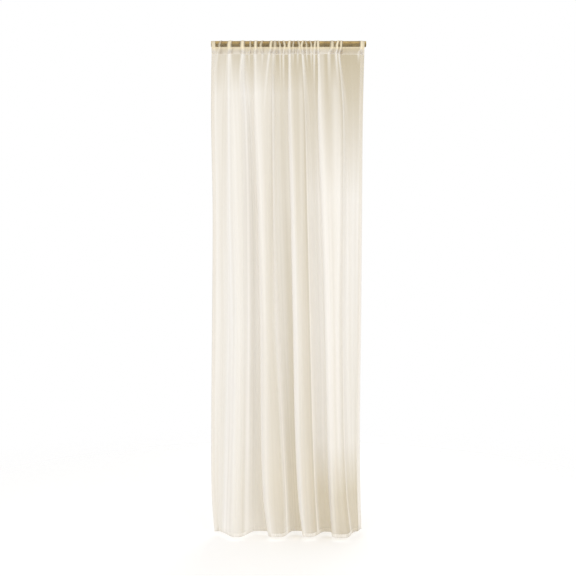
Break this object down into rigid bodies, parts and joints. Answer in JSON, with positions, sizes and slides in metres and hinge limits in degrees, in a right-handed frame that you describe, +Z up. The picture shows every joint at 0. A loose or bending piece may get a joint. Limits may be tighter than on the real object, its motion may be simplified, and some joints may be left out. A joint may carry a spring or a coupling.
{
  "type": "sheer voile curtain on its rod",
  "caption": "Sheer rod-pocket curtain panel gathered on a plain round rod, hanging in soft uneven folds to a narrow stitched hem.",
  "frame": {"origin": "centre of the rod's left end face", "axes": "+X along the rod to the right as seen from the room, -Y towards the room, +Z up, so the curtain hangs down -Z"},
  "size_m": [0.761, 0.1419, 2.4124],
  "materials": {
    "voile": "ivory polyester voile, plain weave, sheer, matt with a faint sheen along its folds",
    "rod_brass": "antique brass, satin"
  },
  "bodies": {
    "root": {"curtain": "voile", "rod": "rod_brass"}
  },
  "joints": []
}
